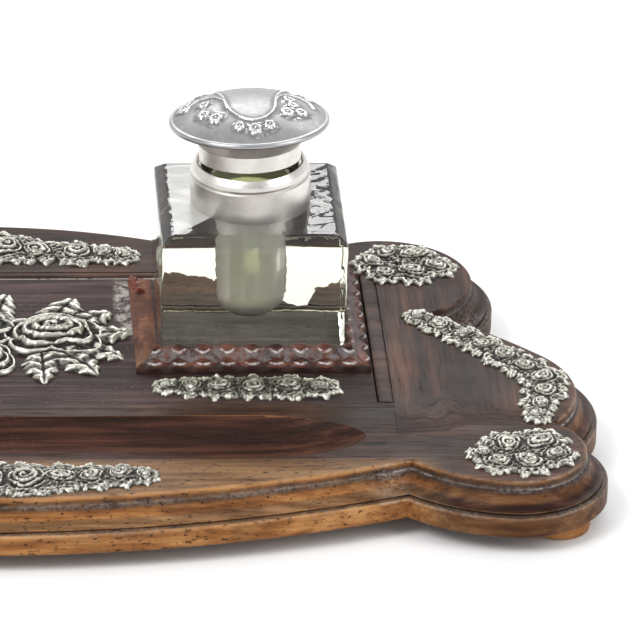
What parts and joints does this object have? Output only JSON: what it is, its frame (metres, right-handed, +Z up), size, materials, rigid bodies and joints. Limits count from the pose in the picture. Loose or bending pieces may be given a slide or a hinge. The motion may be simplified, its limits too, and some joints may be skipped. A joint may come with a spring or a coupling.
{
  "type": "inkwell",
  "caption": "Desk inkstand: scalloped wooden stand with pen trough, silver rose mounts, and square glass inkwells with hinged domed silver lids.",
  "frame": {"origin": "middle of the footprint, on the surface that the feet stand on", "axes": "+X along the stand to its right end, +Y to the back, +Z up"},
  "size_m": [0.358, 0.1883, 0.0915],
  "materials": {
    "walnut": "worn wax polish",
    "light_walnut": "worn wax polish",
    "dark_walnut": "stained, dull",
    "rippled_moulding": "worn wax polish, dusty hollows",
    "old_silver": "cast, oxidised in the hollows",
    "silver": "polished, lightly worn",
    "gilt_liner": "thin gilt",
    "clear_glass": "clear, faint yellow-green",
    "plaster": "matt",
    "brass": "dull"
  },
  "bodies": {
    "stand": {"foot_front_left": "light_walnut", "foot_front_right": "light_walnut", "foot_back_left": "light_walnut", "foot_back_right": "light_walnut", "foot_screws": "brass", "plinth_board": "light_walnut", "board_screws": "brass", "top_board": "walnut", "inset_panel": "dark_walnut", "panel_strip_front": "walnut", "panel_strip_back": "walnut", "panel_strip_left": "walnut", "panel_strip_right": "walnut", "left_gallery_front": "rippled_moulding", "left_gallery_outer": "rippled_moulding", "left_gallery_inner": "rippled_moulding", "right_gallery_front": "rippled_moulding", "right_gallery_outer": "rippled_moulding", "rose_mount_centre": "old_silver", "garland_back": "old_silver", "garland_front": "old_silver", "mount_pins": "brass", "left_garland_panel": "old_silver", "left_garland_end": "old_silver", "left_spray_front_lobe": "old_silver", "left_spray_back_lobe": "old_silver", "right_garland_panel": "old_silver", "right_garland_end": "old_silver", "right_spray_front_lobe": "old_silver", "right_spray_back_lobe": "old_silver"},
    "left_inkwell": {"left_glass_well": "clear_glass", "left_collar_cement": "plaster", "left_collar": "silver", "left_collar_hinge_leaf": "silver", "left_hinge_pin": "silver"},
    "left_lid": {"left_lid_base": "silver", "left_lid_cover": "silver", "left_lid_liner": "gilt_liner", "left_lid_hinge_leaf": "silver"},
    "right_inkwell": {"right_glass_well": "clear_glass", "right_collar_cement": "plaster", "right_collar": "silver", "right_collar_hinge_leaf": "silver", "right_hinge_pin": "silver"},
    "right_lid": {"right_lid_base": "silver", "right_lid_cover": "silver", "right_lid_liner": "gilt_liner", "right_lid_hinge_leaf": "silver"}
  },
  "joints": [
    {"name": "left_inkwell_lift", "type": "slide", "parent": "stand", "child": "left_inkwell", "axis": [0, 0, 1], "range_m": [0, 0.06]},
    {"name": "left_lid_hinge", "type": "hinge", "parent": "left_inkwell", "child": "left_lid", "pos_m": [-0.08, 0.0454, 0.0717], "axis": [-1, 0, 0], "range_deg": [-5.5, 100]},
    {"name": "right_inkwell_lift", "type": "slide", "parent": "stand", "child": "right_inkwell", "axis": [0, 0, 1], "range_m": [0, 0.06]},
    {"name": "right_lid_hinge", "type": "hinge", "parent": "right_inkwell", "child": "right_lid", "pos_m": [0.07956, 0.0454, 0.07169], "axis": [-0.9994, 0, -0.0349], "range_deg": [-5.5, 100]}
  ]
}
